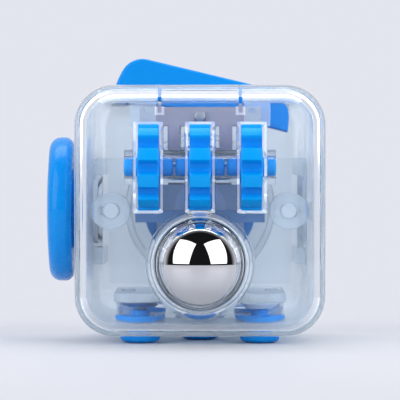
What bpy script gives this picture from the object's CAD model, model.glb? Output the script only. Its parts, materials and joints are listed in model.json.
"""A clear fidget cube with bright blue working parts and a steel roller ball, on a pale desk."""
import json
import math
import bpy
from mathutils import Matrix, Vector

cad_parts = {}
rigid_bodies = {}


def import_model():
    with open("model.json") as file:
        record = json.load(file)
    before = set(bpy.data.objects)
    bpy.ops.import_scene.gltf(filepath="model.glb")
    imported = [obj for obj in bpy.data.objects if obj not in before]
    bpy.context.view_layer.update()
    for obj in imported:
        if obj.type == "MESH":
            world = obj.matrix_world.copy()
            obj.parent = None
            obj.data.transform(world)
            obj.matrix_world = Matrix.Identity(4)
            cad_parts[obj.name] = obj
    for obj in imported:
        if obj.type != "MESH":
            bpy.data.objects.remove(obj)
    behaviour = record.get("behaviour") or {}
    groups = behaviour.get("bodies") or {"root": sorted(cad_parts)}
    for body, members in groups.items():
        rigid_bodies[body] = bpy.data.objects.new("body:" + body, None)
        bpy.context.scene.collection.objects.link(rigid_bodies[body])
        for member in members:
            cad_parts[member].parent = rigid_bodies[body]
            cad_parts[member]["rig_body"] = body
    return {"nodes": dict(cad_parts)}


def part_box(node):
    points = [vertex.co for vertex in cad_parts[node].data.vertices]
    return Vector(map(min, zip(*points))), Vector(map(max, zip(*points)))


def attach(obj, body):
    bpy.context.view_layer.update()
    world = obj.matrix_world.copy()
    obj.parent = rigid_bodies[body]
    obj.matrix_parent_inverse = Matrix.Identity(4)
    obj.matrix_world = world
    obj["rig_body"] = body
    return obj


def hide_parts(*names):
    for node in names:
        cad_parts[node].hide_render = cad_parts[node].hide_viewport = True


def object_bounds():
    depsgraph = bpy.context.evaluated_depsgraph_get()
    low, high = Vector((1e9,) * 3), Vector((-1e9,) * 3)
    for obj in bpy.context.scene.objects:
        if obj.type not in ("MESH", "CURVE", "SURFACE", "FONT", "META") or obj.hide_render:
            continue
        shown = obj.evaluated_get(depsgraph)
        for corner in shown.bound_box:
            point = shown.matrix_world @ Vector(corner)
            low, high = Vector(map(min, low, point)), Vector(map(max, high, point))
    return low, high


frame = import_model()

from types import SimpleNamespace as Sizes

import bmesh
import bpy
from mathutils import Matrix, Vector

CAD_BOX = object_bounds()
MM = 0.001
BOTH = (-1, 1)

# ---- Places from the frame and sizes, all in millimetres ---------------------------------------


def corners(node):
    """The lowest and highest corner of a CAD node."""
    low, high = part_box(node)
    return Vector(low) / MM, Vector(high) / MM


def middle(node):
    low, high = corners(node)
    return (low + high) / 2


def half_length(node, axis):
    low, high = corners(node)
    return (high[axis] - low[axis]) / 2


CASE_LOW, CASE_HIGH = corners("main_shell")
HALF = (CASE_HIGH.x - CASE_LOW.x) / 2
MID = (CASE_HIGH.z + CASE_LOW.z) / 2
TOP = CASE_HIGH.z
CENTRE = Vector((0, 0, MID))
WHEEL_AT = {side: middle("click_wheel_" + side) for side in ("left", "middle", "right")}
AXLE_Y, AXLE_Z = WHEEL_AT["middle"].yz
PITCH = WHEEL_AT["right"].x
BALL_AT = middle("roller_ball")
BALL_R = half_length("roller_ball", 0)
FRONT_AT = Vector((0, 0, BALL_AT.z))  # on the axis of the ball's tube, cup and dome
PIVOT = Vector((0, 0, middle("rocker_axle").z))
BUTTON_AT = {
    name: middle("button_" + name)
    for name in ("middle", "front_left", "front_right", "back_left", "back_right")
}

FILLET = 5.3
WALL = 1.5
INNER = HALF - WALL
GAP = 0.12  # running clearance between separate pieces
ROOT = 0.4  # how far a moulded rib runs into the wall that carries it
FAR = 60.0  # well clear of everything, for cutting tools
SEAM = -10.8  # where the front cover meets the body

LIP = Sizes(thick=0.7, long=1.2)
PIN = Sizes(x=11.5, r=1.0, boss_r=2.4, bore_r=1.1, tip=-13.8, lug_back=-6.5, web_half=1.1)
SLIT = Sizes(x=5.25, half=0.25, depth=3.7, reach=4.0)
RAIL = Sizes(x=12.5, out=13.5, deep=1.0, finger_front=-15.0, low=4.7, high=6.9)
RIB = Sizes(near=5.8, far=9.3, thick=1.3)
PEG = Sizes(place=9.6, r=1.0, foot_r=1.6, proud=0.2, hole_r=1.12)
WORRY = Sizes(r=9.4, depth=2.0, bulge_r=10.15, bulge_depth=2.4)
SLOT = Sizes(half_x=1.6, half_z=5.6, corner=0.5)
WHEEL = Sizes(
    tip_r=5.8, root_r=4.85, teeth=10, tooth_half=math.radians(9.5), half=1.375,
    shoulder_r=2.2, shoulder_half=1.5, hub_r=1.27, hub_half=3.23,
)
BEARING = Sizes(r=1.34, boss_r=2.3, mouth_half=1.12, side=0.4, end_wall=1.4, mouth_deep=3)
ROLLER = Sizes(seat_r=6.1, bezel_r=6.5, proud=0.35, bore_r=6.3, tube_r=7.1, tube_back=-10.0)
RELIEF = Sizes(r=6.5, half=1.8)
CUP = Sizes(r=6.15, fit=0.08, front=-12.5, back=-7.0, stem_r=1.2, stem_back=-6.2)
BALL_DOME = Sizes(r=3.2, rim=-5.2, crown=-6.12, seat_r=3.8, seat_front=-5.1)
PLATE = Sizes(front=-4.2, back=-3.0, half_x=12.2, ear_x=13.4, low=MID - 9.8, high=MID + 6.9)
COMB = Sizes(half_x=8.6, low=MID - 1.7, high=MID - 0.1, thick=0.25, finger_half=1.0)
ROCKER = Sizes(
    tilt=math.radians(13.5), end_r=11.9, face=5.64, corner_r=3.0, skirt=0.6, wall=1.5, half_y=4.3,
    hollow_y=2.8, hollow_low=-0.4, hub_r=2.0, bore_r=0.9, keel_half=0.9, keel_low=3.5, keel_y=3.2,
)
ROCKER_SLOT = Sizes(half_x=12.0, half_y=4.55)
BRACKET = Sizes(
    near=4.7, far=5.3, half_x=8.0, high=TOP - 2.4, low=TOP - 5.4, leg_in=2.6, leg_out=4.3,
    floor=TOP - 9.3, thick=0.6, bore_r=0.84, hole_x=6.9, hole_z=TOP - 3.0, hole_r=0.5,
)
AXLE_R = 0.8
LEAF = Sizes(thick=0.25, hump=0.55, half_y=3.0, half_x=4.1, flat_x=2.6, crest_x=0.5)
DIAL = Sizes(r=9.6, inner=-HALF - 0.5, edge_r=1.5, dome=0.35, boss_r=5.3, boss_end=-16.7)
SHAFT = Sizes(r=2.4, neck_r=1.6, neck_from=-14.0, neck_to=-13.4, end=-12.8, hole_r=2.46)
DIMPLE = Sizes(offset=4.6, sphere_r=4.6, depth=1.0)
PAD = Sizes(
    cap_r=7.2, cap_front=HALF + 0.4, neck_r=3.5, plate_r=7.75, plate_front=13.8, plate_back=14.8,
    stem_r=1.5, stem_end=10.7, travel=1.2, dish_r=10.0, dish_depth=1.0, mouth_r=5.5,
)
RUBBER = Sizes(front=11.5, back=13.3, half_x=6.0, half_z=5.6, corner=1.2, slot_x=1.6, slot_z=2.9)
HOUSING = Sizes(r=10.2, wall=0.7, front=9.4, floor=10.5, rail_low=5.72, rail_high=6.9)
COLLAR = Sizes(r=11.3, front=11.6)
BUTTON = Sizes(r=2.6, tip_r=1.7, hole_r=2.75, flange_r=3.3, flange_thick=0.8, stem_r=1.2)
DOME = Sizes(r=3.0, low=CASE_LOW.z + WALL + 1.9, height=0.85, play=0.08)
PUCK = Sizes(low_r=1.6, high_r=2.7)
BACKING = Sizes(half=11.3, corner=2.5, tube_x=6.4, tube_y=-9.5, cup_x=5.0, cup_y=-6.0)

# ---- Camera and lamps --------------------------------------------------------------------------

LENS, SENSOR = 323, 36
CAMERA_BACK, CAMERA_UP, LOOK_UP = 481.5, 9.6, 1.2
PALE_SKY = (0.895, 0.915, 1.0, 1)
PALE_LIGHT = 0.86  # the sky as it is seen
SKY_ON_SURFACES = 0.36  # the sky as it lights what is dull
DARK_ROOM, PALE_ROOM = 0.012, 0.75  # what outer skins mirror, in front of the cube and behind it


def aim(thing, place, target):
    """Puts a camera or light at a place, looking at the target with its top upwards."""
    thing.location = place
    thing.rotation_euler = (Vector(target) - Vector(place)).to_track_quat("-Z", "Y").to_euler()


def make_camera():
    camera = bpy.data.objects.new("camera", bpy.data.cameras.new("camera"))
    bpy.context.collection.objects.link(camera)
    camera.data.lens = LENS
    camera.data.sensor_width = SENSOR
    camera.data.clip_start = 0.01
    aim(camera, Vector((0, -CAMERA_BACK, MID + CAMERA_UP)) * MM, Vector((0, 0, MID + LOOK_UP)) * MM)
    bpy.context.scene.camera = camera


def make_light(name, azimuth, elevation, width, height, power, distance=0.5):
    """A soft box that faces the cube. Azimuth 0 is straight in front of it."""
    around, up = math.radians(azimuth), math.radians(elevation)
    level = math.cos(up)
    towards = Vector((math.sin(around) * level, -math.cos(around) * level, math.sin(up)))
    lamp = bpy.data.lights.new(name, "AREA")
    lamp.shape = "RECTANGLE"
    lamp.size = width
    lamp.size_y = height
    lamp.energy = power
    light = bpy.data.objects.new(name, lamp)
    bpy.context.collection.objects.link(light)
    target = CENTRE * MM
    aim(light, target + towards * distance, target)


# ---- Mesh work, in millimetres until finish_piece ----------------------------------------------

CARRY = {
    "x": Matrix(((0, 0, 1, 0), (1, 0, 0, 0), (0, 1, 0, 0), (0, 0, 0, 1))),
    "y": Matrix(((1, 0, 0, 0), (0, 0, 1, 0), (0, 1, 0, 0), (0, 0, 0, 1))),
    "z": Matrix.Identity(4),
}
MERGE = 1e-4


def soften(mesh, geometry, radius, segments, affect="EDGES"):
    bmesh.ops.bevel(
        mesh,
        geom=geometry,
        offset=radius,
        segments=segments,
        profile=0.5,
        affect=affect,
        material=-1,
        clamp_overlap=True,
    )


def carry(mesh, axis, at):
    """Turns a shape made along Z to lie along an axis, and moves it to its place."""
    bmesh.ops.transform(mesh, matrix=Matrix.Translation(at) @ CARRY[axis], verts=mesh.verts)
    bmesh.ops.recalc_face_normals(mesh, faces=mesh.faces)
    return mesh


def full_spin(mesh, steps):
    bmesh.ops.spin(
        mesh,
        geom=mesh.verts[:] + mesh.edges[:],
        cent=(0, 0, 0),
        axis=(0, 0, 1),
        angle=math.tau,
        steps=steps,
        use_merge=True,
    )
    bmesh.ops.remove_doubles(mesh, verts=mesh.verts, dist=MERGE)


def turned(profile, axis, at=(0, 0, 0), steps=72, segments=4):
    """A turned shape. Each corner of the profile is radius, place along the axis and, if it is
    rounded, its rounding."""
    mesh = bmesh.new()
    line = [mesh.verts.new((corner[0], 0, corner[1])) for corner in profile]
    for pair in zip(line, line[1:]):
        mesh.edges.new(pair)
    rounded = {}
    for vertex, corner in zip(line, profile):
        if len(corner) > 2:
            rounded.setdefault(corner[2], []).append(vertex)
    for radius, group in rounded.items():
        soften(mesh, group, radius, segments, "VERTICES")
    full_spin(mesh, steps)
    return carry(mesh, axis, at)


def rod(axis, radius, start, end, at=(0, 0, 0), steps=48, edge=None):
    rounding = (edge,) if edge else ()
    rims = [(radius, start, *rounding), (radius, end, *rounding)]
    return turned([(0, start), *rims, (0, end)], axis, at, steps, 3)


def ring(axis, inner, outer, start, end, at, steps=64, edge=0.1):
    loop = [(inner, start, edge), (outer, start, edge), (outer, end, edge), (inner, end, edge)]
    seam = (inner, (start + end) / 2)
    return turned([seam, *loop, seam], axis, at, steps, 2)


def sphere(radius, at, steps=96):
    """A half circle, spun round."""
    mesh = bmesh.new()
    pole = mesh.verts.new((0, 0, -radius))
    bmesh.ops.spin(
        mesh,
        geom=[pole],
        cent=(0, 0, 0),
        axis=(0, 1, 0),
        angle=-math.pi,
        steps=steps // 2,
        use_merge=False,
    )
    full_spin(mesh, steps)
    return carry(mesh, "y", at)


def rounded_cube(half, radius, segments):
    mesh = bmesh.new()
    bmesh.ops.create_cube(mesh, size=2 * half)
    soften(mesh, mesh.edges[:], radius, segments)
    bmesh.ops.translate(mesh, verts=mesh.verts, vec=CENTRE)
    return mesh


def block(across, along, up, edge=0.0):
    mesh = bmesh.new()
    bmesh.ops.create_cube(mesh, size=1)
    spans = (across, along, up)
    bmesh.ops.scale(mesh, vec=[high - low for low, high in spans], verts=mesh.verts)
    bmesh.ops.translate(mesh, vec=[(high + low) / 2 for low, high in spans], verts=mesh.verts)
    if edge:
        soften(mesh, mesh.edges[:], edge, 3)
    return mesh


def slab(start, end):
    """Everything between two places along Y."""
    return block((-FAR, FAR), (start, end), (-FAR, FAR))


def arc(centre, radius, first, last, steps):
    """Points on an arc, first and last in degrees."""
    points = []
    for step in range(steps + 1):
        turn = math.radians(first + (last - first) * step / steps)
        points.append((centre[0] + radius * math.cos(turn), centre[1] + radius * math.sin(turn)))
    return points


def plate(outline, axis, stations, at=(0, 0, 0), corner=0.0, edge=0.0):
    """A flat shape. Its outline is carried through the stations, each a place along the axis and
    how much the outline is stretched there, across and up."""
    mesh = bmesh.new()
    mesh.faces.new([mesh.verts.new((u, v, 0)) for u, v in outline])
    if corner:
        soften(mesh, mesh.verts[:], corner, 5, "VERTICES")
    mesh.faces.ensure_lookup_table()
    face = mesh.faces[0]
    here = list(face.verts)
    place, stretch = 0, (1, 1)
    for index, station in enumerate(stations):
        if index:
            made = bmesh.ops.extrude_face_region(mesh, geom=[face])["geom"]
            if index > 1:
                bmesh.ops.delete(mesh, geom=[face], context="FACES_ONLY")
            here = [item for item in made if isinstance(item, bmesh.types.BMVert)]
            face = next(item for item in made if isinstance(item, bmesh.types.BMFace))
        grown = station[1:] or (1, 1)
        change = (grown[0] / stretch[0], grown[1] / stretch[1], 1)
        bmesh.ops.scale(mesh, vec=change, verts=here)
        bmesh.ops.translate(mesh, vec=(0, 0, station[0] - place), verts=here)
        place, stretch = station[0], grown
    bmesh.ops.holes_fill(mesh, edges=mesh.edges[:])
    if edge:
        rims = [e for e in mesh.edges if len({round(v.co.z, 4) for v in e.verts}) == 1]
        soften(mesh, rims, edge, 3)
    return carry(mesh, axis, at)


def through(start, end):
    """The stations of a plate of constant outline."""
    return [(start,), (end,)]


def rectangle(half_u, half_v):
    return [(-half_u, -half_v), (half_u, -half_v), (half_u, half_v), (-half_u, half_v)]


def strip(line, thickness):
    """The outline of a bent strip of sheet: the line, and the same line moved by its thickness."""
    du, dv = thickness
    return [*line, *[(u + du, v + dv) for u, v in reversed(line)]]


def mirrored(side, near, far):
    """The stretch from near to far on one side of the middle, low end first."""
    return (near, far) if side > 0 else (-far, -near)


def around_mid(span):
    return (MID + span[0], MID + span[1])


def tool_object(mesh):
    data = bpy.data.meshes.new("tool")
    mesh.to_mesh(data)
    mesh.free()
    made = bpy.data.objects.new("tool", data)
    bpy.context.collection.objects.link(made)
    return made


JOIN, CUT, KEEP = "UNION", "DIFFERENCE", "INTERSECT"


def combined(base, *steps):
    """A shape after a run of steps, each an operation and the shapes it is done with."""
    whole = tool_object(base)
    tools = []
    for operation, shapes in steps:
        for shape in shapes:
            tools.append(tool_object(shape))
            step = whole.modifiers.new("step", "BOOLEAN")
            step.operation = operation
            step.solver = "MANIFOLD"
            step.object = tools[-1]
    graph = bpy.context.evaluated_depsgraph_get()
    result = bmesh.new()
    result.from_object(whole, graph)
    for used in (whole, *tools):
        data = used.data
        bpy.data.objects.remove(used)
        bpy.data.meshes.remove(data)
    bmesh.ops.remove_doubles(result, verts=result.verts, dist=MERGE)
    bmesh.ops.dissolve_limit(
        result, angle_limit=math.radians(0.05), verts=result.verts, edges=result.edges
    )
    return result


def finish_piece(name, node, mesh, material, sharp=32):
    """Puts a shape in the scene in place of its CAD node, on the same body."""
    bmesh.ops.scale(mesh, vec=(MM, MM, MM), verts=mesh.verts)
    data = bpy.data.meshes.new(name)
    mesh.to_mesh(data)
    mesh.free()
    data.polygons.foreach_set("use_smooth", [True] * len(data.polygons))
    data.set_sharp_from_angle(angle=math.radians(sharp))
    data.materials.append(material)
    piece = bpy.data.objects.new(name, data)
    bpy.context.collection.objects.link(piece)
    weighted = piece.modifiers.new("even normals", "WEIGHTED_NORMAL")
    weighted.keep_sharp = True
    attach(piece, frame["nodes"][node]["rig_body"])
    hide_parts(node)


# ---- Shader arithmetic -------------------------------------------------------------------------


class Wire:
    """A node's output. Arithmetic on it adds the Math nodes that work it out."""

    def __init__(self, shader, socket):
        self.shader = shader
        self.socket = socket

    def math(self, operation, *values):
        return self.shader.node("Math", {"operation": operation}, dict(enumerate(values)))

    def size(self):
        return self.math("ABSOLUTE", self)

    def whole(self):
        return self.math("ROUND", self)

    def below(self, limit):
        """1 where it is less than a limit, else 0."""
        return self.math("LESS_THAN", self, limit)

    def __add__(self, other):
        return self.math("ADD", self, other)

    def __sub__(self, other):
        return self.math("SUBTRACT", self, other)

    def __rsub__(self, other):
        return self.math("SUBTRACT", other, self)

    def __mul__(self, other):
        return self.math("MULTIPLY", self, other)

    __radd__ = __add__
    __rmul__ = __mul__


class Shader:
    """The nodes of one material or world."""

    def __init__(self, owner):
        self.owner = owner
        owner.use_nodes = True
        self.tree = owner.node_tree
        self.tree.nodes.clear()

    def node(self, kind, settings=None, inputs=None, output=0):
        made = self.tree.nodes.new("ShaderNode" + kind)
        for name, value in (settings or {}).items():
            setattr(made, name, value)
        for name, value in (inputs or {}).items():
            if isinstance(value, Wire):
                self.tree.links.new(value.socket, made.inputs[name])
            else:
                made.inputs[name].default_value = value
        return Wire(self, made.outputs[output]) if made.outputs else None

    def place(self):
        return self.node("TexCoord", output="Object")

    def noise(self, size, detail=3.0, roughness=0.5, stretch=(1, 1, 1)):
        """Noise from 0 to 1 whose blotches are about size millimetres across."""
        inputs = {"Vector": self.place(), "Scale": stretch}
        at = self.node("Mapping", {"vector_type": "POINT"}, inputs)
        inputs = {"Vector": at, "Scale": 1 / (size * MM), "Detail": detail, "Roughness": roughness}
        return self.node("TexNoise", {}, inputs)

    def between(self, factor, first, second):
        """Blends two colours."""
        inputs = {"Factor": factor, 6: first, 7: second}
        return self.node("Mix", {"data_type": "RGBA"}, inputs, output=2)

    def ramp(self, value, start, end, low=0.0, high=1.0, smooth=True):
        """Runs from low to high while a value runs from start to end."""
        settings = {"interpolation_type": "SMOOTHSTEP"} if smooth else {}
        limits = {"From Min": start, "From Max": end, "To Min": low, "To Max": high}
        return self.node("MapRange", settings, {"Value": value, **limits})

    def length(self, vector):
        return self.node("VectorMath", {"operation": "LENGTH"}, {0: vector}, output="Value")

    def bump(self, height, distance):
        return self.node("Bump", {}, {"Height": height, "Distance": distance * MM})

    def principled(self, **sockets):
        inputs = {}
        for name, value in sockets.items():
            inputs[name.replace("_", " ").title().replace("Ior", "IOR")] = value
        return self.node("BsdfPrincipled", {}, inputs)

    def mixed(self, factor, first, second):
        return self.node("MixShader", {}, {0: factor, 1: first, 2: second})

    def cover(self, surface):
        self.node("OutputMaterial", {}, {"Surface": surface})
        return self.owner

    def finish(self, **sockets):
        return self.cover(self.principled(**sockets))


def new_material(name):
    return Shader(bpy.data.materials.new(name))


def make_studio():
    """Pale surroundings. Outer skins mirror a dark room in front and a pale one behind."""
    shader = Shader(bpy.data.worlds.new("studio"))
    way = shader.node("TexCoord", output="Generated")
    room = shader.ramp(
        shader.node("SeparateXYZ", {}, {0: way}, output="Y"), -0.08, 0.22, DARK_ROOM, PALE_ROOM
    )
    glossy, passed, dull, depth = (
        shader.node("LightPath", output=name)
        for name in ("Is Glossy Ray", "Is Transmission Ray", "Is Diffuse Ray", "Transmission Depth")
    )
    sky = shader.node("Mix", {}, {"Factor": dull, "A": PALE_LIGHT, "B": SKY_ON_SURFACES})
    clamped = {"operation": "SUBTRACT", "use_clamp": True}
    outside_ray = shader.node("Math", clamped, {0: glossy, 1: passed}) * depth.below(0.5)
    strength = shader.node("Mix", {}, {"Factor": outside_ray, "A": sky, "B": room})
    pale = shader.node("Background", {}, {"Color": PALE_SKY, "Strength": strength})
    shader.node("OutputWorld", {}, {"Surface": pale})
    bpy.context.scene.world = shader.owner
    bpy.context.scene.view_settings.view_transform = "Standard"
    for name, azimuth in (("soft box left", -48), ("soft box right", 48)):
        make_light(name, azimuth, elevation=28, width=0.44, height=0.52, power=1.6)
    make_light("overhead", 180, elevation=72, width=0.6, height=0.26, power=1.5)


# ---- Materials ---------------------------------------------------------------------------------


def paint(colour, share=1.0):
    """A colour for a socket, darkened to a share of itself."""
    return (*[part * share for part in colour], 1)


def cut_edges(shader):
    """1 on the moulded edges round the front's slots, slits and ball seat, which gather light."""
    rim, slit_rim, seat_from, seat_to = 0.32, 0.37, 6.05, 6.75
    x, y, z = (
        shader.node("SeparateXYZ", {}, {0: shader.place()}, output=index) * (1 / MM)
        for index in range(3)
    )
    number = (x * (1 / PITCH)).whole()
    slot = (x - number * PITCH).size().below(SLOT.half_x + rim)
    slot = slot * (z - AXLE_Z).size().below(SLOT.half_z + rim) * number.size().below(1.5)
    slit = (x.size() - SLIT.x).size().below(SLIT.half + slit_rim) * (TOP - z).below(4.0)
    reach = shader.length(shader.node("CombineXYZ", {}, {0: x, 1: 0.0, 2: z - BALL_AT.z}))
    seat = reach.below(seat_to) * (seat_from - reach).below(0.0) * 0.5
    return (slot + slit * 1.2 + seat) * y.below(-HALF + 0.6)


def clear_plastic(name, tint, milk, blur, ripple, ior=1.46, edges=None):
    """Clear plastic with faint flow marks, a little haze and a barely rippled skin. Lamps shine
    through it on what is inside."""
    shader = new_material(name)
    glow = {}
    if edges:
        lit = edges(shader)
        glow = {
            "emission_color": shader.between(lit, paint((0, 0, 0)), paint((0.27, 0.285, 0.32))),
            "emission_strength": 1.0,
        }
    flow = shader.noise(7, detail=4, stretch=(1, 1, 0.5))
    skin = shader.noise(1.6, detail=2)
    plastic = shader.principled(
        base_color=shader.between(flow, paint(tint), paint(tint, 0.95)),
        roughness=flow * 0.05 + (blur - 0.025),
        transmission_weight=1 - milk,
        ior=ior,
        normal=shader.bump(skin, ripple),
        **glow,
    )
    passed = shader.node("BsdfTransparent", {}, {"Color": paint(tint, 1 - milk / 2)})
    lamp_ray = shader.node("LightPath", output="Is Shadow Ray")
    return shader.cover(shader.mixed(lamp_ray, plastic, passed))


def azure(name, shade_of, roughness, specular, coat, grain):
    """Solid azure plastic with a moulded skin. shade_of gives its colour from the shader, the flow
    of the plastic and its rubbed spots."""
    shader = new_material(name)
    flow = shader.noise(5, detail=5, stretch=(1, 1, 0.6))
    fine = shader.noise(0.25, detail=3)
    rub = shader.noise(0.9, detail=6, roughness=0.7)
    return shader.finish(
        base_color=shade_of(shader, flow, rub),
        roughness=rub * 0.14 + roughness,
        ior=1.45,
        specular_ior_level=specular,
        coat_weight=coat,
        coat_roughness=0.08,
        normal=shader.bump(fine, grain),
    )


def rubbed_shade(shader, flow, rub):
    """Faint flow marks and rubbed high spots."""
    shade = shader.between(flow, paint((0.0, 0.235, 0.72)), paint((0.0, 0.275, 0.78)))
    return shader.between(rub * 0.1, shade, paint((0.01, 0.38, 0.86)))


def wheel_shade(shader, flow, rub):
    """Deeper in the valleys between the teeth, rubbed bright on the tips, clean on the hubs."""
    to_axle = (0, -AXLE_Y * MM, -AXLE_Z * MM)
    spoke = shader.node(
        "VectorMath", {"operation": "MULTIPLY_ADD"}, {0: shader.place(), 1: (0, 1, 1), 2: to_axle}
    )
    reach = shader.length(spoke)
    tip = shader.ramp(reach + rub * (0.1 * MM), 5.0 * MM, 5.75 * MM)
    hub = shader.ramp(reach, 2.6 * MM, 2.2 * MM, smooth=False)
    deep = shader.between(flow, paint((0.0, 0.19, 0.68)), paint((0.0, 0.22, 0.74)))
    return shader.between(tip + hub, deep, paint((0.0, 0.315, 0.80)))


def mirror_steel(name):
    """Polished ball steel with the faintest haze of fine scratches."""
    shader = new_material(name)
    haze = shader.noise(2.5, detail=5)
    scratch = shader.noise(0.12, detail=2, stretch=(1, 9, 1))
    return shader.finish(
        base_color=shader.between(haze, paint((0.70, 0.70, 0.715)), paint((0.65, 0.65, 0.67))),
        metallic=1.0,
        roughness=haze * 0.02 + scratch * 0.02 + 0.01,
        normal=shader.bump(scratch, 0.0002),
    )


def worked_steel(name, colour, roughness, stretch, grain):
    """Steel with the direction of its rolling or grinding in its skin."""
    shader = new_material(name)
    smear = shader.noise(2, detail=4)
    lines = shader.noise(0.3, detail=4, stretch=stretch)
    return shader.finish(
        base_color=shader.between(smear, paint(colour), paint(colour, 0.82)),
        metallic=1.0,
        roughness=lines * 0.16 + smear * 0.08 + roughness,
        normal=shader.bump(lines, grain),
    )


def pale_plastic(name, colour, roughness, waxy):
    shader = new_material(name)
    cloud = shader.noise(3, detail=5)
    skin = shader.noise(0.4, detail=3)
    return shader.finish(
        base_color=shader.between(cloud, paint(colour), paint(colour, 0.9)),
        roughness=skin * 0.12 + roughness,
        subsurface_weight=waxy,
        subsurface_radius=(MM, MM, MM),
        normal=shader.bump(skin, 0.006),
    )


make_camera()
make_studio()

CLEAR_FRONT = clear_plastic(
    "clear front plastic", (0.90, 0.94, 0.975), 0.0, 0.04, 0.003, edges=cut_edges
)
CLEAR_BODY = clear_plastic("clear body plastic", (0.875, 0.92, 0.96), 0.21, 0.14, 0.004)
CLEAR_INNER = clear_plastic("clear inner plastic", (0.92, 0.95, 0.975), 0.01, 0.1, 0.003, 1.14)
CLEAR_RUBBER = clear_plastic("clear silicone rubber", (0.80, 0.88, 0.97), 0.2, 0.3, 0.006, 1.3)
MILKY_PLATE = clear_plastic("milky acetal", (0.86, 0.905, 0.95), 0.28, 0.45, 0.004, 1.15)
BLUE_GLOSS = azure("azure gloss plastic", rubbed_shade, 0.2, 0.2, 0.12, 0.0015)
BLUE_SATIN = azure("azure satin plastic", rubbed_shade, 0.28, 0.2, 0.08, 0.003)
WHEEL_BLUE = azure("azure wheel plastic", wheel_shade, 0.22, 0.15, 0.06, 0.0015)
BALL_STEEL = mirror_steel("polished ball steel")
PIN_STEEL = worked_steel("ground pin steel", (0.5, 0.51, 0.55), 0.2, (1, 0.1, 1), 0.001)
BRACKET_STEEL = worked_steel("stamped bracket steel", (0.48, 0.45, 0.53), 0.38, (0.15, 1, 1), 0.002)
SPRING_STEEL = worked_steel("spring strip steel", (0.48, 0.49, 0.53), 0.22, (1, 0.12, 1), 0.0015)
COMB_STEEL = worked_steel("blued comb steel", (0.16, 0.30, 0.55), 0.26, (1, 0.12, 1), 0.0015)
ACETAL = pale_plastic("white acetal", (0.85, 0.86, 0.87), 0.34, 0.1)
WASHER_PLASTIC = pale_plastic("waxy washer plastic", (0.76, 0.79, 0.83), 0.4, 0.1)
SILICONE = pale_plastic("milky silicone", (0.74, 0.79, 0.84), 0.5, 0.2)

# ---- Casing ------------------------------------------------------------------------------------

RAIL_SPANS = [around_mid(mirrored(up, RAIL.low, RAIL.high)) for up in BOTH]
PEG_PLACES = ((0, PEG.place), (-PEG.place, 0), (PEG.place, 0))
BACKING_LOW, BACKING_HIGH = (corner.z for corner in corners("button_backing_plate"))


def outer_body():
    return rounded_cube(HALF, FILLET, 12)


def cavity(grown=0.0):
    return rounded_cube(INNER + grown, FILLET - WALL + grown, 9)


def worry_cap(radius, rim_x, depth, outside):
    """The hollow of the worry stone, as the cap that cuts it, with an eased rim."""
    sphere_r = (radius**2 + depth**2) / (2 * depth)
    rim = math.degrees(math.asin(radius / sphere_r))
    bowl = arc((0, 0), sphere_r, -90, rim - 90, 14)
    arch = [(max(r, 0), rim_x - depth + sphere_r + h) for r, h in bowl]
    return turned(arch + outside, "x", CENTRE, 96)


def casing_pin(side):
    at = (side * PIN.x, 0, MID)
    lug = rod("y", PIN.boss_r, SEAM + GAP, PIN.lug_back, at, edge=0.2)
    pin = rod("y", PIN.r, PIN.tip, SEAM + ROOT, at, 32, 0.2)
    across = mirrored(side, PIN.x, INNER + ROOT)
    web = block(across, (SEAM + GAP, PIN.lug_back), around_mid((-PIN.web_half, PIN.web_half)))
    return [lug, pin, web]


def casing_peg(x, y):
    foot = CASE_LOW.z + WALL - ROOT
    shoulder, end = BACKING_LOW - GAP, BACKING_HIGH + PEG.proud
    profile = [
        (0, foot), (PEG.foot_r, foot), (PEG.foot_r, shoulder, 0.15),
        (PEG.r, shoulder), (PEG.r, end, 0.25), (0, end),
    ]
    return turned(profile, "z", (x, y, 0), 32)


def casing_ribs():
    """The rails behind the mechanism plate, the ribs that hold the rocker's bracket, the pins that
    meet the front cover, and the pegs of the buttons' plate."""
    ribs = [piece for side in BOTH for piece in casing_pin(side)]
    rail = (PLATE.back + GAP, PLATE.back + GAP + RAIL.deep)
    rib_near = BRACKET.far + GAP
    for side in BOTH:
        for up, height in zip(BOTH, RAIL_SPANS):
            ribs.append(block(mirrored(side, RAIL.x, INNER + ROOT), rail, height))
            across = mirrored(side, RIB.near, RIB.far)
            along = mirrored(up, rib_near, rib_near + RIB.thick)
            ribs.append(block(across, along, (BRACKET.low, TOP - WALL + ROOT)))
    return ribs + [casing_peg(x, y) for x, y in PEG_PLACES]


def button_hole(place):
    floor, hole_r = CASE_LOW.z, BUTTON.hole_r
    lead = [(0, 0), (3.5, 0), (3.5, floor - 0.5), (hole_r, floor + 0.25)]
    profile = [*lead, (hole_r, floor + WALL + 1), (0, floor + WALL + 1)]
    return turned(profile, "z", (place.x, place.y, 0), 64)


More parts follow.
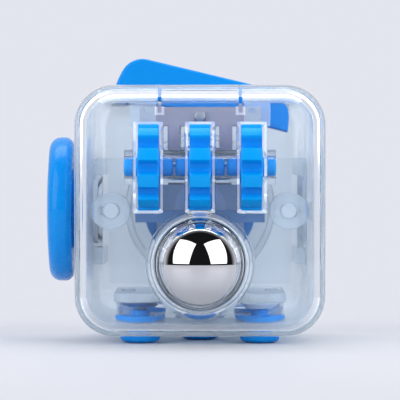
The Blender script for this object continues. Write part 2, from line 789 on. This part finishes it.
def make_casing_body():
    lip = combined(
        cavity(LIP.thick), (CUT, [cavity()]), (KEEP, [slab(SEAM - LIP.long, SEAM + ROOT)])
    )
    bulge_rim = [(11.2, INNER + 1.5), (0, INNER + 1.5)]
    bulge = combined(
        worry_cap(WORRY.bulge_r, INNER + ROOT, WORRY.bulge_depth, bulge_rim),
        (KEEP, [outer_body(), slab(SEAM, FAR)]),
    )
    collar = ring("y", HOUSING.r + GAP, COLLAR.r, COLLAR.front, INNER + ROOT, CENTRE, 96)
    rocker_slot = plate(
        rectangle(ROCKER_SLOT.half_x, ROCKER_SLOT.half_y),
        "z",
        [(TOP + 0.6, 1.075, 1.2), (TOP - 0.3, 1, 1), (TOP - WALL - 1, 1, 1)],
        corner=0.5,
    )
    dial_hole = turned(
        [
            (0, -HALF - 1), (3.3, -HALF - 1), (3.3, -HALF - 0.6),
            (SHAFT.hole_r, -HALF + 0.25), (SHAFT.hole_r, -INNER + 1), (0, -INNER + 1),
        ],
        "x",
        CENTRE,
    )
    pad_mouth = turned(
        [
            (0, INNER - 1), (PAD.mouth_r, INNER - 1), (PAD.mouth_r, HALF - 0.4, 0.3),
            (6.4, HALF + 0.5), (0, HALF + 0.5),
        ],
        "y",
        CENTRE,
        96,
    )
    button_holes = [button_hole(place) for place in BUTTON_AT.values()]
    hollow_rim = [(10.6, HALF + 0.32), (10.6, HALF + 2), (0, HALF + 2)]
    hollow = worry_cap(WORRY.r, HALF, WORRY.depth, hollow_rim)
    return combined(
        outer_body(),
        (CUT, [cavity()]),
        (KEEP, [slab(SEAM, FAR)]),
        (JOIN, [lip, bulge, collar, *casing_ribs()]),
        (CUT, [rocker_slot, dial_hole, pad_mouth, *button_holes, hollow]),
    )


def make_front_cover():
    pin_places = [(side * PIN.x, 0, MID) for side in BOTH]
    lip_room = combined(
        cavity(LIP.thick + GAP), (KEEP, [slab(SEAM - LIP.long - GAP, FAR)])
    )
    walls = combined(
        outer_body(), (CUT, [cavity()]), (KEEP, [slab(-FAR, SEAM - GAP)]), (CUT, [lip_room])
    )
    sunk, proud = -INNER - ROOT, -HALF - ROLLER.proud
    bezel = turned(
        [
            (0, proud), (ROLLER.bezel_r, proud, 0.3), (ROLLER.bezel_r, -HALF + 0.2),
            (ROLLER.bezel_r, sunk), (0, sunk),
        ],
        "y",
        FRONT_AT,
        96,
    )
    tube = combined(
        rod("y", ROLLER.tube_r, sunk, ROLLER.tube_back, FRONT_AT, 96, 0.2), (KEEP, [outer_body()])
    )
    bosses = [rod("y", PIN.boss_r, sunk, SEAM - GAP, at) for at in pin_places]
    finger = (RAIL.finger_front, PLATE.front - GAP)
    fingers = [
        block(mirrored(side, RAIL.x, RAIL.out), finger, height)
        for side in BOTH
        for height in RAIL_SPANS
    ]
    seat = sphere(ROLLER.seat_r, BALL_AT, 96)
    bore = rod("y", ROLLER.bore_r, BALL_AT.y + 0.6, 0, FRONT_AT, 96)
    relief = combined(
        rod("x", RELIEF.r, -RELIEF.half, RELIEF.half, WHEEL_AT["middle"], 96),
        (KEEP, [slab(-INNER, 0)]),
    )
    slots = [
        plate(
            rectangle(SLOT.half_x, SLOT.half_z),
            "y",
            [(-HALF - 0.5, 1.56, 1.16), (-HALF + 0.4, 1, 1), (-INNER + GAP, 1, 1)],
            (wheel.x, 0, wheel.z),
            corner=SLOT.corner,
        )
        for wheel in WHEEL_AT.values()
    ]
    pin_bores = [rod("y", PIN.bore_r, PIN.tip - GAP, SEAM + 1, at) for at in pin_places]
    slits = [
        plate(
            rectangle(SLIT.half, SLIT.reach),
            "y",
            [(-HALF - 0.5, 3.0, 1.08), (-HALF + 0.25, 1, 1), (SEAM + 1, 1, 1)],
            (side * SLIT.x, 0, TOP - SLIT.depth + SLIT.reach),
            corner=0.2,
        )
        for side in BOTH
    ]
    return combined(
        walls,
        (JOIN, [bezel, tube, *bosses, *fingers]),
        (CUT, [seat, bore, relief, *slots, *pin_bores, *slits]),
    )


finish_piece("casing_body", "main_shell", make_casing_body(), CLEAR_BODY)
finish_piece("casing_front", "front_cover", make_front_cover(), CLEAR_FRONT)

# ---- Front: click wheels and roller ball -------------------------------------------------------


def make_click_wheel(at):
    """A wheel with ten round valleys between its teeth, and a hub with rounded ends."""
    tip_r, root_r, pitch = WHEEL.tip_r, WHEEL.root_r, math.tau / WHEEL.teeth
    steps = 20 * WHEEL.teeth
    valley_at = (tip_r**2 - root_r**2) / (2 * (tip_r * math.cos(WHEEL.tooth_half) - root_r))
    valley_r = valley_at - root_r
    outline = []
    for step in range(steps):
        turn = math.tau * (step + 0.5) / steps
        off = (turn + pitch / 2) % pitch - pitch / 2
        inside = valley_r**2 - (valley_at * math.sin(off)) ** 2
        reach = valley_at * math.cos(off) - math.sqrt(inside) if inside > 0 else tip_r
        reach = min(reach, tip_r)
        outline.append((reach * math.cos(turn + math.pi), reach * math.sin(turn + math.pi)))
    disc = plate(outline, "x", through(-WHEEL.half, WHEEL.half), at, edge=0.22)
    hub = rod("x", WHEEL.hub_r, -WHEEL.hub_half, WHEEL.hub_half, at, 48, 0.45)
    shoulder = rod("x", WHEEL.shoulder_r, -WHEEL.shoulder_half, WHEEL.shoulder_half, at, 48, 0.12)
    return combined(disc, (JOIN, [shoulder, hub]))


def make_ball_cup():
    profile = [
        (0, CUP.front), (CUP.r, CUP.front, 0.2), (CUP.r, CUP.back, 0.5),
        (CUP.stem_r, CUP.back, 0.3), (CUP.stem_r, CUP.stem_back, 0.2), (0, CUP.stem_back),
    ]
    return combined(turned(profile, "y", FRONT_AT), (CUT, [sphere(BALL_R + CUP.fit, BALL_AT, 72)]))


def snap_dome(axis, radius, rim, crown, at):
    """A shallow sprung cap with a small dimple in its crown."""
    rise = crown - rim
    skin = math.copysign(0.25, rise)
    shares = (1, 0.9, 0.75, 0.6, 0.45, 0.3, 0.16)
    over = [(radius * share, rim + rise * (1 - share**2)) for share in shares]
    under = [(r, place - skin) for r, place in over[1:]]
    dimple = (0, over[-1][1] - skin * 0.3)
    under_dimple = (0, under[-1][1] - skin * 0.1)
    return turned([*over, dimple, under_dimple, *reversed(under), over[0]], axis, at, 48)


def make_mechanism_plate():
    thick = (PLATE.front, PLATE.back)
    sheet = block((-PLATE.half_x, PLATE.half_x), thick, (PLATE.low, PLATE.high), 0.2)
    ears = [block((-PLATE.ear_x, PLATE.ear_x), thick, height, 0.2) for height in RAIL_SPANS]
    near = WHEEL.half + BEARING.side
    cheeks = []
    for side in BOTH:
        for start, end in ((near, PITCH - near), (PITCH + near, PITCH + near + BEARING.end_wall)):
            across = mirrored(side, start, end)
            height = (AXLE_Z - BEARING.boss_r, PLATE.high)
            cheeks.append(block(across, (AXLE_Y, PLATE.front + ROOT), height))
            cheeks.append(rod("x", BEARING.boss_r, *across, WHEEL_AT["middle"], 48))
    seat_front, seat_back = BALL_DOME.seat_front, PLATE.front + ROOT
    seat = rod("y", BALL_DOME.seat_r, seat_front, seat_back, FRONT_AT, 64, 0.2)
    bores = rod("x", BEARING.r, -FAR, FAR, WHEEL_AT["middle"], 48)
    mouths = block(
        (-FAR, FAR),
        (AXLE_Y - BEARING.mouth_deep, AXLE_Y),
        (AXLE_Z - BEARING.mouth_half, AXLE_Z + BEARING.mouth_half),
    )
    return combined(sheet, (JOIN, [*ears, *cheeks, seat]), (CUT, [bores, mouths]))


def make_click_comb():
    back, high = PLATE.front - GAP, COMB.high
    across, along = (-COMB.half_x, COMB.half_x), (back - COMB.thick, back)
    band = block(across, along, (COMB.low, high), 0.05)
    line = [
        (back, high - 0.2), (back - 0.35, high + 1.6), (back - 1.35, high + 4.1),
        (back - 0.7, high + 5.1),
    ]
    bent = strip(line, (-COMB.thick, 0))
    width = through(-COMB.finger_half, COMB.finger_half)
    fingers = [plate(bent, "x", width, (wheel.x, 0, 0), corner=0.04) for wheel in WHEEL_AT.values()]
    return combined(band, (JOIN, fingers))


for side, at in WHEEL_AT.items():
    wheel = make_click_wheel(at)
    finish_piece(f"{side}_notched_wheel", f"click_wheel_{side}", wheel, WHEEL_BLUE, 40)
finish_piece("steel_ball", "roller_ball", sphere(BALL_R, BALL_AT, 128), BALL_STEEL)
finish_piece("ball_cup", "roller_cup", make_ball_cup(), ACETAL)
BALL_CAP = snap_dome("y", BALL_DOME.r, BALL_DOME.rim, BALL_DOME.crown, FRONT_AT)
finish_piece("ball_click_dome", "roller_click_dome", BALL_CAP, SPRING_STEEL)
finish_piece("bearing_plate", "mechanism_plate", make_mechanism_plate(), CLEAR_INNER)
finish_piece("click_comb", "wheel_click_comb", make_click_comb(), COMB_STEEL)

# ---- Top: rocker switch ------------------------------------------------------------------------


def make_rocker():
    """The hollow thumb piece, level about its pivot, then tipped as it stands."""
    end_r, corner_r, half_y = ROCKER.end_r, ROCKER.corner_r, ROCKER.half_y
    corner_z = ROCKER.face - corner_r
    corner_x = math.sqrt((end_r - corner_r) ** 2 - corner_z**2)
    low = math.degrees(math.asin(ROCKER.skirt / end_r))
    turn = math.degrees(math.atan2(corner_z, corner_x))
    end = arc((0, 0), end_r, low, turn, 6)[:-1]
    right = end + arc((corner_x, corner_z), corner_r, turn, 90, 10)
    outline = right + [(-u, v) for u, v in reversed(right)]
    cap = plate(outline, "y", through(-half_y, half_y), edge=0.35)

    wide, roof = end_r - ROCKER.wall, ROCKER.face - ROCKER.wall
    lowest, shoulder = ROCKER.hollow_low, roof - ROCKER.wall
    inside = [
        (-wide, lowest), (wide, lowest), (wide, shoulder), (wide - ROCKER.wall, roof),
        (-wide + ROCKER.wall, roof), (-wide, shoulder),
    ]
    hollow = plate(inside, "y", through(-ROCKER.hollow_y, ROCKER.hollow_y), corner=0.3)

    half, tip, root = ROCKER.keel_half, -ROCKER.keel_low, roof + ROOT
    nose = tip + 0.5
    keel_end = [
        (-half, root), (-half, nose), (0.5 - half, tip),
        (half - 0.5, tip), (half, nose), (half, root),
    ]
    keel = plate(keel_end, "y", through(-ROCKER.keel_y, ROCKER.keel_y))
    hub = rod("y", ROCKER.hub_r, -half_y, half_y, steps=64, edge=0.15)
    bore = rod("y", ROCKER.bore_r, -FAR, FAR)
    made = combined(cap, (CUT, [hollow]), (JOIN, [hub, keel]), (CUT, [bore]))
    tilt = Matrix.Translation(PIVOT) @ Matrix.Rotation(ROCKER.tilt, 4, "Y")
    bmesh.ops.transform(made, matrix=tilt, verts=made.verts)
    return made


def make_rocker_bracket():
    wide, reach = BRACKET.half_x, BRACKET.leg_out
    floor, ceiling = BRACKET.floor, BRACKET.floor + BRACKET.thick
    cheeks = []
    for back in BOTH:
        along = mirrored(back, BRACKET.near, BRACKET.far)
        cheeks.append(block((-wide, wide), along, (BRACKET.low, BRACKET.high), 0.12))
        for side in BOTH:
            across = mirrored(side, BRACKET.leg_in, reach)
            cheeks.append(block(across, along, (floor, BRACKET.low + ROOT), 0.12))
    base = block((-reach, reach), (-BRACKET.far, BRACKET.far), (floor, ceiling), 0.12)
    holes = [
        rod("y", BRACKET.hole_r, -FAR, FAR, (side * BRACKET.hole_x, 0, BRACKET.hole_z), 32)
        for side in BOTH
    ]
    bore = rod("y", BRACKET.bore_r, -FAR, FAR, PIVOT)
    return combined(base, (JOIN, cheeks), (CUT, [bore, *holes]))


def make_rocker_spring():
    low = BRACKET.floor + BRACKET.thick + GAP
    right = [(LEAF.crest_x, low + LEAF.hump), (LEAF.flat_x, low), (LEAF.half_x, low)]
    line = [(-u, v) for u, v in reversed(right)] + right
    width = through(-LEAF.half_y, LEAF.half_y)
    return plate(strip(line, (0, LEAF.thick)), "y", width, corner=0.03)


finish_piece("rocker_switch", "rocker", make_rocker(), BLUE_SATIN)
AXLE_HALF = half_length("rocker_axle", 1)
ROCKER_PIN = rod("y", AXLE_R, -AXLE_HALF, AXLE_HALF, PIVOT, 48, 0.2)
finish_piece("rocker_pin", "rocker_axle", ROCKER_PIN, PIN_STEEL)
finish_piece("rocker_saddle", "rocker_bracket", make_rocker_bracket(), BRACKET_STEEL)
finish_piece("rocker_leaf", "rocker_snap_spring", make_rocker_spring(), SPRING_STEEL)

# ---- Left: spinning dial -----------------------------------------------------------------------


def make_dial():
    inner, outer = DIAL.inner, corners("spin_dial")[0].x
    neck, rounded = SHAFT.neck_r, DIAL.edge_r
    shaft = [
        (0, SHAFT.end), (1.9, SHAFT.end, 0.15), (2.2, SHAFT.neck_to), (neck, SHAFT.neck_to),
        (neck, SHAFT.neck_from), (SHAFT.r, SHAFT.neck_from),
    ]
    boss = [(SHAFT.r, DIAL.boss_end), (DIAL.boss_r, DIAL.boss_end), (DIAL.boss_r, inner)]
    turn = arc((DIAL.r - rounded, 0), rounded, 0, -90, 9)
    edge = [(r, outer + DIAL.dome + rounded + x) for r, x in turn]
    rim = [(DIAL.r - 0.6, inner), (DIAL.r, inner - 0.6, 0.3)]
    face = [(4.8, outer + 0.1), (0, outer)]

    sphere_r = DIMPLE.sphere_r
    bowl = [
        (max(r, 0), outer + DIMPLE.depth - sphere_r + h)
        for r, h in arc((0, 0), sphere_r, 90, 40, 10)
    ]
    bowl_r = bowl[-1][0]
    flare = [(bowl_r + 0.35, outer + 0.05), (bowl_r + 1.1, outer - 0.3), (0, outer - 0.3)]
    dimple = turned(bowl + flare, "x", (0, 0, MID + DIMPLE.offset))
    return combined(turned([*shaft, *boss, *rim, *edge, *face], "x", CENTRE, 120), (CUT, [dimple]))


finish_piece("dial", "spin_dial", make_dial(), BLUE_GLOSS, 24)
WASHER = ring("x", 2.5, 4.6, -14.88, -14.12, CENTRE)
finish_piece("dial_slip_washer", "dial_washer", WASHER, WASHER_PLASTIC)
CLIP = ring("x", 1.68, 4.2, -13.94, -13.46, CENTRE)
finish_piece("dial_snap_clip", "dial_clip", CLIP, ACETAL)

# ---- Back: gliding thumb pad -------------------------------------------------------------------


def make_thumb_pad():
    back = corners("thumb_pad")[1].y
    profile = [
        (0, PAD.stem_end), (PAD.stem_r, PAD.stem_end, 0.2),
        (PAD.stem_r, PAD.plate_front, 0.15), (PAD.plate_r, PAD.plate_front, 0.2),
        (PAD.plate_r, PAD.plate_back, 0.2), (PAD.neck_r, PAD.plate_back, 0.3),
        (PAD.neck_r, PAD.cap_front, 0.3), (PAD.cap_r, PAD.cap_front, 0.3),
        (PAD.cap_r, back, 0.7), (0, back),
    ]
    dish = sphere(PAD.dish_r, (0, back - PAD.dish_depth + PAD.dish_r, MID), 96)
    return combined(turned(profile, "y", CENTRE, 96), (CUT, [dish]))


def make_centring_block():
    front, back = RUBBER.front, RUBBER.back
    outline = rectangle(RUBBER.half_x, RUBBER.half_z)
    body = plate(outline, "y", through(front, back), CENTRE, corner=RUBBER.corner, edge=0.15)
    opening = rectangle(RUBBER.slot_x, RUBBER.slot_z)
    slot = plate(opening, "y", through(front - 1, back + 1), CENTRE, corner=1.55)
    return combined(body, (CUT, [slot]))


def make_pad_housing():
    r, front, back = HOUSING.r, HOUSING.front, INNER - GAP
    inside = r - HOUSING.wall
    profile = [
        (0, front), (r, front, 0.5), (r, back, 0.12), (inside, back, 0.12),
        (inside, HOUSING.floor, 0.3), (0, HOUSING.floor),
    ]
    rail = (HOUSING.floor - 0.2, RUBBER.back)
    rails = []
    for up in BOTH:
        height = around_mid(mirrored(up, HOUSING.rail_low, HOUSING.rail_high))
        bar = block((-r, r), rail, height, 0.1)
        rails.append(combined(bar, (KEEP, [rod("y", r - HOUSING.wall / 2, *rail, CENTRE, 96)])))
    play = PAD.travel * math.sqrt(2) + 0.3
    hole = rod("y", PAD.stem_r + play, front - 1, HOUSING.floor + 0.2, CENTRE, 64)
    return combined(turned(profile, "y", CENTRE, 96), (JOIN, rails), (CUT, [hole]))


finish_piece("glide_pad", "thumb_pad", make_thumb_pad(), BLUE_SATIN)
finish_piece("centring_rubber", "pad_centring_block", make_centring_block(), CLEAR_RUBBER)
finish_piece("glide_housing", "pad_housing", make_pad_housing(), CLEAR_INNER)

# ---- Bottom: push buttons ----------------------------------------------------------------------


def make_button(at):
    flange = CASE_LOW.z + WALL + GAP
    shoulder, end = flange + BUTTON.flange_thick, DOME.low - DOME.play
    profile = [
        (0, 0.0), (BUTTON.tip_r, 0.0, 0.35), (BUTTON.r, 0.35, 0.3), (BUTTON.r, flange),
        (BUTTON.flange_r, flange, 0.1), (BUTTON.flange_r, shoulder, 0.15),
        (BUTTON.stem_r, shoulder, 0.2), (BUTTON.stem_r, end, 0.2), (0, end),
    ]
    return turned(profile, "z", at)


def make_puck(at):
    low, high = DOME.low, DOME.low + DOME.height
    profile = [(0, low), (PUCK.low_r, low, 0.15), (PUCK.high_r, high, 0.12), (0, high)]
    return turned(profile, "z", at, 48)


def make_backing_plate():
    sides = rectangle(BACKING.half, BACKING.half)
    thick = through(BACKING_LOW, BACKING_HIGH)
    sheet = plate(sides, "z", thick, corner=BACKING.corner, edge=0.15)
    notches = [
        block((-BACKING.tube_x, BACKING.tube_x), (-FAR, BACKING.tube_y), (0, MID)),
        block((-BACKING.cup_x, BACKING.cup_x), (-FAR, BACKING.cup_y), (0, MID)),
    ]
    holes = [rod("z", PEG.hole_r, 0, MID, (x, y, 0)) for x, y in PEG_PLACES]
    return combined(sheet, (CUT, [*notches, *holes]))


for name, at in BUTTON_AT.items():
    foot = (at.x, at.y, 0)
    finish_piece(f"push_button_{name}", f"button_{name}", make_button(foot), BLUE_GLOSS)
    if f"silent_puck_{name}" in frame["nodes"]:
        finish_piece(f"quiet_puck_{name}", f"silent_puck_{name}", make_puck(foot), SILICONE)
    else:
        cap = snap_dome("z", DOME.r, DOME.low + DOME.height, DOME.low, foot)
        finish_piece(f"snap_dome_{name}", f"click_dome_{name}", cap, SPRING_STEEL)
finish_piece("button_plate", "button_backing_plate", make_backing_plate(), MILKY_PLATE)

# ---- Desk --------------------------------------------------------------------------------------


def make_desk():
    """A round pale desk that fades into the surroundings, so that no edge shows."""
    mesh = bpy.data.meshes.new("desk")
    top = bmesh.new()
    bmesh.ops.create_circle(top, cap_ends=True, segments=96, radius=0.3)
    top.to_mesh(mesh)
    top.free()
    desk = bpy.data.objects.new("desk", mesh)
    desk.location.z = CAD_BOX[0][2]
    bpy.context.collection.objects.link(desk)
    shader = new_material("pale desk")
    cloud = shader.noise(40, detail=3)
    shade = shader.between(cloud, paint((0.66, 0.675, 0.72)), paint((0.64, 0.655, 0.70)))
    near = shader.principled(base_color=shade, roughness=0.5)
    fade = shader.ramp(shader.length(shader.place()), 0.025, 0.14)
    far = shader.node("Emission", {}, {"Color": PALE_SKY, "Strength": PALE_LIGHT})
    mesh.materials.append(shader.cover(shader.mixed(fade, near, far)))


make_desk()
